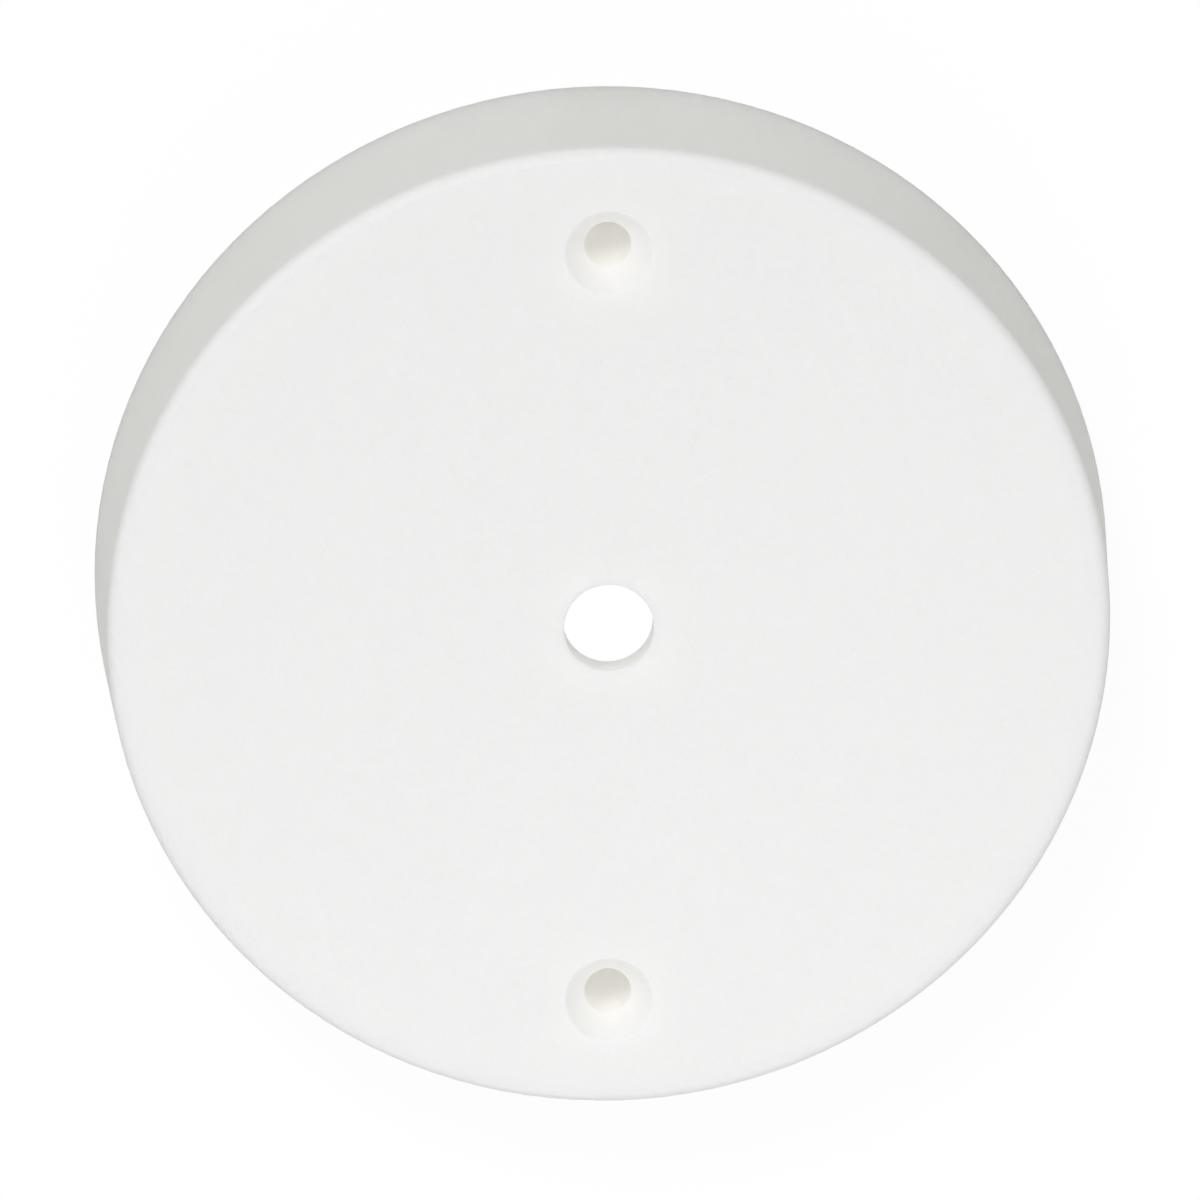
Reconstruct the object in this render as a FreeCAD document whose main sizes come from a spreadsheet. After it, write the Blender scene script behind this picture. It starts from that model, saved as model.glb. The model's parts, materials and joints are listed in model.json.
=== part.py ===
import FreeCAD, Part
import math
import os

import Sketcher

# Ceiling rose: one shallow moulded plastic cup that hides the wiring at a ceiling.
# It lies on its ceiling side. Z = 0 is the ceiling plane, +Z points out of the visible face,
# and the two fixing screws stand on the Y axis, either side of the cord hole.

# Driving dimensions, in millimetres and degrees
SIZES = {
    # outer form
    "rim_diameter": 115.0,
    "cover_height": 21.4,
    "draft_angle": 2.0,
    "edge_radius": 1.25,
    # moulded section
    "face_thickness": 3.5,
    "wall_thickness": 2.5,
    "corner_bevel": 1.0,
    # cord hole at the centre of the face
    "cord_hole_diameter": 10.2,
    # fixing screws: dished seats in the face, on pillars that reach the ceiling
    "screw_inset": 13.05,
    "screw_hole_diameter": 5.3,
    "recess_diameter": 9.9,
    "recess_depth": 3.65,
    "dish_radius": 25.0,
    "pillar_diameter": 11.0,
    "pillar_draft_angle": 0.5,
    "pillar_root_bevel": 0.8,
    # softened edges of the holes in the face
    "lip_radius": 0.25,
}

SHEET_NAME = "Sizes"
NODE_NAME = "rose_cover"
FULL_TURN = 360.0
SCREW_COUNT = 2
SAME_PLACE = 1e-4


def make_sheet(doc):
    """The driving dimensions as a sheet of named cells."""
    sheet = doc.addObject("Spreadsheet::Sheet", SHEET_NAME)
    for row, (name, value) in enumerate(SIZES.items(), start=1):
        sheet.set(f"A{row}", name)
        sheet.set(f"B{row}", str(value))
        sheet.setAlias(f"B{row}", name)
    doc.recompute()


def size(name):
    """How an expression names one cell of the sheet."""
    return f"{SHEET_NAME}.{name}"


def screw_offset():
    """How an expression gives a screw's distance from the middle: the rim's radius less the inset."""
    return f"{size('rim_diameter')} / 2 - {size('screw_inset')}"


def origin_feature(body, role):
    """One of the body's own origin planes or axes."""
    return next(feature for feature in body.Origin.OriginFeatures if feature.Role == role)


def add_sketch(body, name, role):
    """An empty sketch on one of the body's origin planes."""
    sketch = body.newObject("Sketcher::SketchObject", name)
    sketch.AttachmentSupport = (origin_feature(body, role), [""])
    sketch.MapMode = "FlatFace"
    return sketch


def start_of(edge):
    """A sketch's name for the first point of an edge."""
    return (edge, 1)


def end_of(edge):
    """A sketch's name for the last point of an edge."""
    return (edge, 2)


def centre_of(circle):
    """A sketch's name for the centre of a circle or arc."""
    return (circle, 3)


def sketch_origin():
    """A sketch's name for its own origin."""
    return (-1, 1)


def add_line(sketch, start, end, construction=False):
    """A straight edge between two (x, y) points of the sketch. Returns its index."""
    segment = Part.LineSegment(FreeCAD.Vector(*start, 0), FreeCAD.Vector(*end, 0))
    return sketch.addGeometry(segment, construction)


def add_circle(sketch, centre, radius):
    """A full circle in the sketch. Returns its index."""
    circle = Part.Circle(FreeCAD.Vector(*centre, 0), FreeCAD.Vector(0, 0, 1), radius)
    return sketch.addGeometry(circle, False)


def hold(sketch, kind, *references):
    """A rule of the sketch that needs no size."""
    sketch.addConstraint(Sketcher.Constraint(kind, *references))


def join(sketch, first, second):
    """Two points of the sketch made one."""
    hold(sketch, "Coincident", *first, *second)


def put_on_level_axis(sketch, point):
    """Keeps a point of the sketch on its horizontal axis."""
    hold(sketch, "PointOnObject", *point, -1)


def put_on_upright_axis(sketch, point):
    """Keeps a point of the sketch on its vertical axis."""
    hold(sketch, "PointOnObject", *point, -2)


def bind(sketch, name, expression, kind, *references):
    """A named dimension of the sketch, driven by an expression of the sheet's cells."""
    value = sketch.evalExpression(expression)
    index = sketch.addConstraint(Sketcher.Constraint(kind, *references, value))
    sketch.renameConstraint(index, name)
    sketch.setExpression(f"Constraints.{name}", expression)


def cup_profile(body):
    """Half section of the cup: drafted wall, flat face and ceiling rim, all one wall."""
    sketch = add_sketch(body, "CupProfile", "XZ_Plane")
    rim_radius = SIZES["rim_diameter"] / 2
    inside = rim_radius - SIZES["wall_thickness"]
    top = SIZES["cover_height"]
    under = top - SIZES["face_thickness"]
    corners = [(0, top), (rim_radius, top), (rim_radius, 0), (inside, 0), (inside, under), (0, under)]
    edges = [add_line(sketch, here, there) for here, there in zip(corners, corners[1:] + corners[:1])]
    face, outer_wall, rim, inner_wall, underside, axis = edges
    for edge, following in zip(edges, edges[1:] + edges[:1]):
        join(sketch, end_of(edge), start_of(following))
    for level in (face, rim, underside):
        hold(sketch, "Horizontal", level)
    hold(sketch, "Parallel", outer_wall, inner_wall)
    put_on_upright_axis(sketch, start_of(axis))
    put_on_upright_axis(sketch, end_of(axis))
    put_on_level_axis(sketch, start_of(rim))
    rim_half = f"{size('rim_diameter')} / 2"
    lean = f"{size('cover_height')} * tan({size('draft_angle')})"
    bind(sketch, "RimRadius", rim_half, "DistanceX", *sketch_origin(), *start_of(rim))
    bind(sketch, "RimWidth", size("wall_thickness"), "DistanceX", *end_of(rim), *start_of(rim))
    bind(sketch, "Height", size("cover_height"), "DistanceY", *sketch_origin(), *end_of(axis))
    bind(sketch, "FaceThickness", size("face_thickness"), "DistanceY", *start_of(axis), *end_of(axis))
    bind(sketch, "WallLean", lean, "DistanceX", *start_of(outer_wall), *end_of(outer_wall))
    return sketch


def add_cup(body):
    """The cup, turned from its half section."""
    cup = body.newObject("PartDesign::Revolution", "Cup")
    sketch = cup_profile(body)
    cup.Profile = sketch
    cup.ReferenceAxis = (sketch, ["V_Axis"])
    cup.Angle = FULL_TURN


def add_pillar(body):
    """One drafted pillar, from the ceiling plane up into the face."""
    sketch = add_sketch(body, "PillarOutline", "XY_Plane")
    place = SIZES["rim_diameter"] / 2 - SIZES["screw_inset"]
    circle = add_circle(sketch, (0, place), SIZES["pillar_diameter"] / 2)
    put_on_upright_axis(sketch, centre_of(circle))
    bind(sketch, "Place", screw_offset(), "DistanceY", *sketch_origin(), *centre_of(circle))
    bind(sketch, "Diameter", size("pillar_diameter"), "Diameter", circle)
    pillar = body.newObject("PartDesign::Pad", "Pillar")
    pillar.Profile = sketch
    # the pillar ends halfway through the face, so that the two are one moulding
    pillar.setExpression("Length", f"{size('cover_height')} - {size('face_thickness')} / 2")
    pillar.setExpression("TaperAngle", size("pillar_draft_angle"))
    return pillar


def dish_arc(middle, top):
    """A screw seat's section: a shallow hollow arc, from the screw hole up to the face."""
    lip_point = FreeCAD.Vector(middle + SIZES["recess_diameter"] / 2, top, 0)
    seat_point = FreeCAD.Vector(middle + SIZES["screw_hole_diameter"] / 2, top - SIZES["recess_depth"], 0)
    chord = lip_point - seat_point
    reach = math.sqrt(SIZES["dish_radius"] ** 2 - (chord.Length / 2) ** 2)
    towards_axis = FreeCAD.Vector(-chord.y, chord.x, 0).normalize()
    centre = (lip_point + seat_point) * 0.5 + towards_axis * reach
    circle = Part.Circle(centre, FreeCAD.Vector(0, 0, 1), SIZES["dish_radius"])
    return Part.ArcOfCircle(circle, circle.parameter(seat_point), circle.parameter(lip_point))


def screw_way_profile(body):
    """Half section of a screw's way: a dish in the face, then a straight hole."""
    sketch = add_sketch(body, "ScrewWayProfile", "YZ_Plane")
    middle = SIZES["rim_diameter"] / 2 - SIZES["screw_inset"]
    lip = middle + SIZES["recess_diameter"] / 2
    hole = middle + SIZES["screw_hole_diameter"] / 2
    top = SIZES["cover_height"]
    seat = top - SIZES["recess_depth"]
    mouth = add_line(sketch, (middle, top), (lip, top))
    dish = sketch.addGeometry(dish_arc(middle, top), False)
    bore = add_line(sketch, (hole, seat), (hole, 0))
    outlet = add_line(sketch, (hole, 0), (middle, 0))
    core = add_line(sketch, (middle, 0), (middle, top))
    axis = add_line(sketch, (middle, 0), (middle, top), construction=True)
    join(sketch, end_of(mouth), end_of(dish))
    join(sketch, start_of(dish), start_of(bore))
    join(sketch, end_of(bore), start_of(outlet))
    join(sketch, end_of(outlet), start_of(core))
    join(sketch, end_of(core), start_of(mouth))
    join(sketch, start_of(axis), start_of(core))
    join(sketch, end_of(axis), end_of(core))
    for level in (mouth, outlet):
        hold(sketch, "Horizontal", level)
    for upright in (bore, core):
        hold(sketch, "Vertical", upright)
    put_on_level_axis(sketch, end_of(outlet))
    lip_radius = f"{size('recess_diameter')} / 2"
    hole_radius = f"{size('screw_hole_diameter')} / 2"
    bind(sketch, "Place", screw_offset(), "DistanceX", *sketch_origin(), *start_of(core))
    bind(sketch, "Height", size("cover_height"), "DistanceY", *sketch_origin(), *end_of(core))
    bind(sketch, "LipRadius", lip_radius, "DistanceX", *start_of(mouth), *end_of(mouth))
    bind(sketch, "Depth", size("recess_depth"), "DistanceY", *start_of(bore), *end_of(mouth))
    bind(sketch, "DishRadius", size("dish_radius"), "Radius", dish)
    bind(sketch, "HoleRadius", hole_radius, "DistanceX", *end_of(outlet), *start_of(outlet))
    return sketch


def add_screw_way(body):
    """The dish and hole for one screw, turned out of the face and its pillar."""
    way = body.newObject("PartDesign::Groove", "ScrewWay")
    sketch = screw_way_profile(body)
    way.Profile = sketch
    way.ReferenceAxis = (sketch, ["Axis0"])
    way.Angle = FULL_TURN
    return way


def add_opposite_screw(body, features):
    """The second pillar and screw way, half a turn round the middle of the rose."""
    pair = body.newObject("PartDesign::PolarPattern", "OppositeScrew")
    pair.Originals = features
    pair.Axis = (origin_feature(body, "Z_Axis"), [""])
    pair.Angle = FULL_TURN
    pair.Occurrences = SCREW_COUNT
    body.Tip = pair


def add_cord_hole(body):
    """The plain round hole through the middle of the face."""
    sketch = add_sketch(body, "CordHoleOutline", "XY_Plane")
    circle = add_circle(sketch, (0, 0), SIZES["cord_hole_diameter"] / 2)
    join(sketch, centre_of(circle), sketch_origin())
    bind(sketch, "Diameter", size("cord_hole_diameter"), "Diameter", circle)
    hole = body.newObject("PartDesign::Pocket", "CordHole")
    hole.Profile = sketch
    hole.Type = "ThroughAll"
    # the sketch lies in the ceiling plane, and the face is above it
    hole.Reversed = True
    return hole


def level_circles(shape, height):
    """The circular edges that lie at one height, as (edge name, circle), smallest circle first."""
    found = []
    for number, edge in enumerate(shape.Edges, start=1):
        if not isinstance(edge.Curve, Part.Circle):
            continue
        level = abs(edge.BoundBox.ZMax - height) < SAME_PLACE
        flat = edge.BoundBox.ZLength < SAME_PLACE
        if level and flat:
            found.append((f"Edge{number}", edge.Curve))
    return sorted(found, key=lambda item: item[1].Radius)


def stands_off_axis(circle):
    """Whether a circle's centre is away from the middle of the rose."""
    return abs(circle.Center.y) > SAME_PLACE


def dress_edges(doc, body, kind, name, edge_names, measure, size_name):
    """One rounding or bevel along some edges, with its measure taken from the sheet."""
    base = body.Tip
    feature = body.newObject(kind, name)
    feature.Base = (base, edge_names)
    feature.setExpression(measure, size(size_name))
    doc.recompute()


def round_edges(doc, body, name, edge_names, size_name):
    """A fillet along some edges."""
    dress_edges(doc, body, "PartDesign::Fillet", name, edge_names, "Radius", size_name)


def bevel_edges(doc, body, name, edge_names, size_name):
    """A chamfer along some edges."""
    dress_edges(doc, body, "PartDesign::Chamfer", name, edge_names, "Size", size_name)


def finish_edges(doc, body):
    """Rounds the edges that show, and bevels the corners inside the cup."""
    face_height = SIZES["cover_height"]
    underside_height = face_height - SIZES["face_thickness"]

    edge_name, _ = level_circles(body.Shape, face_height)[-1]
    round_edges(doc, body, "FaceEdge", [edge_name], "edge_radius")

    corner_name, _ = level_circles(body.Shape, underside_height)[-1]
    bevel_edges(doc, body, "InsideCorner", [corner_name], "corner_bevel")

    underside = level_circles(body.Shape, underside_height)
    roots = [name for name, circle in underside if stands_off_axis(circle)]
    bevel_edges(doc, body, "PillarRoots", roots, "pillar_root_bevel")

    # the widest circle left in the face is the start of its rounded edge
    lips = [name for name, _ in level_circles(body.Shape, face_height)[:-1]]
    round_edges(doc, body, "HoleLips", lips, "lip_radius")


def require_cut(doc, body, make_cut):
    """Makes a cut, and stops if it takes nothing away."""
    before = body.Shape.Volume
    feature = make_cut(body)
    doc.recompute()
    if not body.Shape.Volume < before:
        raise RuntimeError(f"{feature.Name} cuts nothing")
    return feature


def make_rose_cover(doc):
    """The whole rose, as one moulded body."""
    body = doc.addObject("PartDesign::Body", "RoseCover")
    body.Label = NODE_NAME
    body.Placement = FreeCAD.Placement(FreeCAD.Vector(0, 0, 0), FreeCAD.Rotation())
    add_cup(body)
    pillar = add_pillar(body)
    doc.recompute()
    screw_way = require_cut(doc, body, add_screw_way)
    add_opposite_screw(body, [pillar, screw_way])
    doc.recompute()
    require_cut(doc, body, add_cord_hole)
    finish_edges(doc, body)
    return body


def check(doc, bodies):
    """Stops if any feature failed or any body is not one sound solid."""
    for item in doc.Objects:
        if "Invalid" in item.State or "Error" in item.State:
            raise RuntimeError(f"{item.Name} failed: {item.State}")
    for body in bodies:
        shape = body.Shape
        if shape.isNull() or not shape.isValid() or len(shape.Solids) != 1:
            raise RuntimeError(f"{body.Label} is not one sound solid")


def main():
    doc = FreeCAD.newDocument("CeilingRose")
    make_sheet(doc)
    bodies = [make_rose_cover(doc)]
    doc.recompute()
    check(doc, bodies)
    os.makedirs("parts", exist_ok=True)
    for body in bodies:
        body.Shape.exportStep(f"parts/{body.Label}.step")
        print(body.Label, "volume", round(body.Shape.Volume, 1), "mm3")


main()
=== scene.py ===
import json
import math

import bpy
from mathutils import Matrix, Vector


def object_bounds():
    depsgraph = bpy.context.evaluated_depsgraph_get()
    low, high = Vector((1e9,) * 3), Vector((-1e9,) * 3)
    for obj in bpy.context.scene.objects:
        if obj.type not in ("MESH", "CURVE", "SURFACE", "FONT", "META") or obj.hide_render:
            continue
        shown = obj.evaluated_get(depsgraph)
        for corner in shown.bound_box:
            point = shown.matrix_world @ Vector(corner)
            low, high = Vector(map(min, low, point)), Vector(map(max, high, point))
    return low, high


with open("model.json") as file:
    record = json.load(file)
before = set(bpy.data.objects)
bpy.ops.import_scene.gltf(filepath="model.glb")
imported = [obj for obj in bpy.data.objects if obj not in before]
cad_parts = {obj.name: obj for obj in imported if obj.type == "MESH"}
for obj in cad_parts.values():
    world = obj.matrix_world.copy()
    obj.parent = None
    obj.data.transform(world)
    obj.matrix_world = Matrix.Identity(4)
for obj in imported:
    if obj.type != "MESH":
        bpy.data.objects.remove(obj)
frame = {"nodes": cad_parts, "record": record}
cad_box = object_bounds()
mounts = {mount["name"]: mount for mount in frame["record"]["mounts"]}

# The rose's own sizes, from the frame
MM = 0.001
RIM_RADIUS = cad_box[1][0]
FACE_HEIGHT = cad_box[1][2]
SCREW_OFFSET = mounts["fixing_screws"]["dims"]["spacing_y_mm"] / 2 * MM

# The photograph's view: the face is seen a little from the side that is at the top of the picture
PHOTO_SIDE = 1200
FRAME_WIDTH = 0.13566
FACE_CENTRE_PIXEL = (609.1, 628.3)
VIEW_TILT = math.radians(18.45)
VIEW_TURN = math.radians(7.5)
CAMERA_DISTANCE = 5.0
CAMERA_REACH = 20.0
SENSOR_WIDTH = 36.0
PICTURE_UP = Vector((0, -1, 0))

# Studio: a pale floor, and a white card inside the rim that shows through the cord hole
WHITE = (1, 1, 1)
FLOOR_SIDE = 8.0
FLOOR_COLOUR = (0.48, 0.478, 0.443)
FLOOR_GLOW = 0.914
FLOOR_SHADE = 0.1
CARD_RADIUS = RIM_RADIUS - 5.5 * MM
CARD_CORNERS = 64
CARD_LIFT = 0.2 * MM
CARD_GLOW = 1.0
CARD_SHADE = 0.0
LAMP_LIFT = 0.4 * MM

# Lights: even light from all round, a key from the upper left of the picture, a fill from below it,
# and a light table under the rose that brightens its hollow and the depths of its screw holes
COOL_WHITE = (0.977, 0.981, 1.0)
WORLD_LIGHT = 0.55
KEY_TILT = math.radians(40)
KEY_TURN = math.radians(19.5)
KEY_DISTANCE = 5.0
KEY_SIDE = 1.4
KEY_POWER = 73.5
FILL_PLACE = (-0.03, 0.25, 0.35)
FILL_SIDE = 0.2
FILL_POWER = 0.26
TABLE_GLOW = 0.19
SCREW_LAMP_RADIUS = 2.5 * MM
SCREW_GLOW = 0.34
SCREW_BEAM = math.radians(65)
DEEPEST_BOUNCE = 24

# White plastic: a faintly cloudy tint, the fine grain of a spark-eroded mould,
# and a share of light that goes in and comes out again a little way off
TINT_DEEP = (0.950, 0.947, 0.931)
TINT_PALE = (0.962, 0.959, 0.943)
CLOUD_SCALE = 60.0
GRAIN_SCALE = 2200.0
GRAIN_DEPTH = 0.08 * MM
ROUGHNESS_SMOOTH = 0.5
ROUGHNESS_COARSE = 0.62
PLASTIC_IOR = 1.46
INNER_LIGHT_SHARE = 0.6
INNER_LIGHT_REACH = 6 * MM
INNER_LIGHT_TINT = (1.0, 0.95, 0.88)


class Tree:
    """A material's or world's node tree, with short calls to add and join nodes."""

    def __init__(self, owner):
        owner.use_nodes = True
        self.tree = owner.node_tree
        self.tree.nodes.clear()

    def add(self, kind, **inputs):
        node = self.tree.nodes.new(kind)
        for name, value in inputs.items():
            node.inputs[name.replace("_", " ")].default_value = value
        return node

    def join(self, output, socket):
        self.tree.links.new(output, socket)


def rgba(colour):
    return (*colour, 1)


def direction(tilt, turn):
    """Unit vector that leans from upright towards the top of the picture, then turns to its left."""
    lean = math.sin(tilt)
    return Vector((lean * math.sin(turn), -lean * math.cos(turn), math.cos(tilt)))


def seen_directly(tree):
    """1 for rays that show a surface to the viewer, straight or by gloss or glass, else 0."""
    path = tree.add("ShaderNodeLightPath")
    direct = tree.add("ShaderNodeMath")
    direct.operation = "MAXIMUM"
    tree.join(path.outputs["Is Camera Ray"], direct.inputs[0])
    tree.join(path.outputs["Is Glossy Ray"], direct.inputs[1])
    either = tree.add("ShaderNodeMath")
    either.operation = "MAXIMUM"
    tree.join(direct.outputs["Value"], either.inputs[0])
    tree.join(path.outputs["Is Transmission Ray"], either.inputs[1])
    return either.outputs["Value"]


def white_plastic():
    """Matte white moulded plastic with a fine spark-eroded grain, which lets light in a little way."""
    material = bpy.data.materials.new("white_plastic")
    tree = Tree(material)
    output = tree.add("ShaderNodeOutputMaterial")
    shader = tree.add("ShaderNodeBsdfPrincipled", IOR=PLASTIC_IOR)
    shader.subsurface_method = "BURLEY"
    shader.inputs["Subsurface Weight"].default_value = INNER_LIGHT_SHARE
    shader.inputs["Subsurface Scale"].default_value = INNER_LIGHT_REACH
    shader.inputs["Subsurface Radius"].default_value = INNER_LIGHT_TINT
    tree.join(shader.outputs["BSDF"], output.inputs["Surface"])
    place = tree.add("ShaderNodeTexCoord")

    grain = tree.add("ShaderNodeTexNoise", Scale=GRAIN_SCALE, Detail=3.0, Roughness=0.6)
    cloud = tree.add("ShaderNodeTexNoise", Scale=CLOUD_SCALE, Detail=2.0, Roughness=0.5)
    for texture in (grain, cloud):
        tree.join(place.outputs["Object"], texture.inputs["Vector"])

    tint = tree.add("ShaderNodeMix")
    tint.data_type = "RGBA"
    tint.inputs["A"].default_value = rgba(TINT_DEEP)
    tint.inputs["B"].default_value = rgba(TINT_PALE)
    tree.join(cloud.outputs["Fac"], tint.inputs["Factor"])
    tree.join(tint.outputs["Result"], shader.inputs["Base Color"])

    gloss = tree.add("ShaderNodeMapRange", To_Min=ROUGHNESS_SMOOTH, To_Max=ROUGHNESS_COARSE)
    tree.join(grain.outputs["Fac"], gloss.inputs["Value"])
    tree.join(gloss.outputs["Result"], shader.inputs["Roughness"])

    bump = tree.add("ShaderNodeBump", Strength=1.0, Distance=GRAIN_DEPTH)
    tree.join(grain.outputs["Fac"], bump.inputs["Height"])
    tree.join(bump.outputs["Normal"], shader.inputs["Normal"])
    return material


def studio_white(name, glow, shade):
    """Pale stage surface: a share of its white is its own when seen, and a share shows shadows."""
    material = bpy.data.materials.new(name)
    tree = Tree(material)
    output = tree.add("ShaderNodeOutputMaterial")
    seen = seen_directly(tree)
    plain = tree.add("ShaderNodeBsdfDiffuse", Color=rgba(FLOOR_COLOUR))
    shaded = tree.add("ShaderNodeBsdfDiffuse", Color=rgba([shade] * 3))
    own = tree.add("ShaderNodeEmission", Color=rgba(WHITE), Strength=glow)
    shown = tree.add("ShaderNodeAddShader")
    tree.join(shaded.outputs["BSDF"], shown.inputs[0])
    tree.join(own.outputs["Emission"], shown.inputs[1])
    mix = tree.add("ShaderNodeMixShader")
    tree.join(seen, mix.inputs["Fac"])
    tree.join(plain.outputs["BSDF"], mix.inputs[1])
    tree.join(shown.outputs["Shader"], mix.inputs[2])
    tree.join(mix.outputs["Shader"], output.inputs["Surface"])
    return material


def add_mesh(name, corners, material):
    """A flat polygon through the corners, as a new object."""
    mesh = bpy.data.meshes.new(name)
    mesh.from_pydata(corners, [], [range(len(corners))])
    mesh.materials.append(material)
    piece = bpy.data.objects.new(name, mesh)
    bpy.context.collection.objects.link(piece)
    return piece


def build_stage():
    """The floor, and the card on it."""
    half = FLOOR_SIDE / 2
    square = [(-half, -half, 0), (half, -half, 0), (half, half, 0), (-half, half, 0)]
    floor = add_mesh("floor", square, studio_white("floor_white", FLOOR_GLOW, FLOOR_SHADE))
    turns = [math.tau * step / CARD_CORNERS for step in range(CARD_CORNERS)]
    disc = [(CARD_RADIUS * math.cos(turn), CARD_RADIUS * math.sin(turn), CARD_LIFT) for turn in turns]
    card = add_mesh("card", disc, studio_white("card_white", CARD_GLOW, CARD_SHADE))


def build_world():
    """Even white light from all round, and a white backdrop where it is seen."""
    world = bpy.data.worlds.new("studio")
    bpy.context.scene.world = world
    tree = Tree(world)
    output = tree.add("ShaderNodeOutputWorld")
    light = tree.add("ShaderNodeBackground", Color=rgba(COOL_WHITE), Strength=WORLD_LIGHT)
    backdrop = tree.add("ShaderNodeBackground", Color=rgba(WHITE), Strength=1.0)
    mix = tree.add("ShaderNodeMixShader")
    tree.join(seen_directly(tree), mix.inputs["Fac"])
    tree.join(light.outputs["Background"], mix.inputs[1])
    tree.join(backdrop.outputs["Background"], mix.inputs[2])
    tree.join(mix.outputs["Shader"], output.inputs["Surface"])


def add_lamp(name, shape, width, power, place, aim, beam=math.pi):
    """A flat lamp of some shape and width at a place, with its beam turned to a point."""
    data = bpy.data.lights.new(name, "AREA")
    data.shape = shape
    data.size = width
    data.energy = power
    data.spread = beam
    data.color = COOL_WHITE
    lamp = bpy.data.objects.new(name, data)
    lamp.location = place
    lamp.rotation_euler = (Vector(aim) - Vector(place)).to_track_quat("-Z", "Y").to_euler()
    lamp.visible_camera = False
    bpy.context.collection.objects.link(lamp)


def add_softbox(name, place, side, power):
    """A square lamp, turned to the rose."""
    add_lamp(name, "SQUARE", side, power, place, (0, 0, 0))


def add_table_lamp(name, place_y, radius, glow, beam=math.pi):
    """A round patch of the light table that faces up and is as bright as a white of that glow."""
    power = glow * math.pi * math.pi * radius**2
    add_lamp(name, "DISK", 2 * radius, power, (0, place_y, LAMP_LIFT), (0, place_y, 1), beam)


def add_lights():
    """The softboxes, and the light table under the hollow and under each screw hole."""
    add_softbox("key", direction(KEY_TILT, KEY_TURN) * KEY_DISTANCE, KEY_SIDE, KEY_POWER)
    add_softbox("fill", FILL_PLACE, FILL_SIDE, FILL_POWER)
    add_table_lamp("table", 0, CARD_RADIUS, TABLE_GLOW)
    for place_y in (-SCREW_OFFSET, SCREW_OFFSET):
        add_table_lamp("screw_table", place_y, SCREW_LAMP_RADIUS, SCREW_GLOW, SCREW_BEAM)


def add_camera():
    """The photograph's camera: a long lens, far off, with the screws upright in the picture."""
    face_centre = Vector((0, 0, FACE_HEIGHT))
    back = direction(VIEW_TILT, VIEW_TURN)
    right = PICTURE_UP.cross(back).normalized()
    up = back.cross(right)
    pixel = FRAME_WIDTH / PHOTO_SIDE
    aside = PHOTO_SIDE / 2 - FACE_CENTRE_PIXEL[0]
    above = FACE_CENTRE_PIXEL[1] - PHOTO_SIDE / 2
    target = face_centre + right * aside * pixel + up * above * pixel
    place = target + back * CAMERA_DISTANCE

    data = bpy.data.cameras.new("camera")
    data.sensor_width = SENSOR_WIDTH
    data.lens = SENSOR_WIDTH * CAMERA_DISTANCE / FRAME_WIDTH
    data.clip_end = CAMERA_REACH
    camera = bpy.data.objects.new("camera", data)
    camera.matrix_world = Matrix.Translation(place) @ Matrix((right, up, back)).transposed().to_4x4()
    bpy.context.collection.objects.link(camera)
    bpy.context.scene.camera = camera


def dress_rose():
    """The moulding's own finish, on the solid as it is."""
    plastic = white_plastic()
    for piece in frame["nodes"].values():
        for slot in piece.material_slots:
            slot.material = plastic


dress_rose()
build_stage()
build_world()
add_lights()
add_camera()
bpy.context.scene.view_settings.view_transform = "Standard"
bpy.context.scene.cycles.max_bounces = DEEPEST_BOUNCE
bpy.context.scene.cycles.diffuse_bounces = DEEPEST_BOUNCE
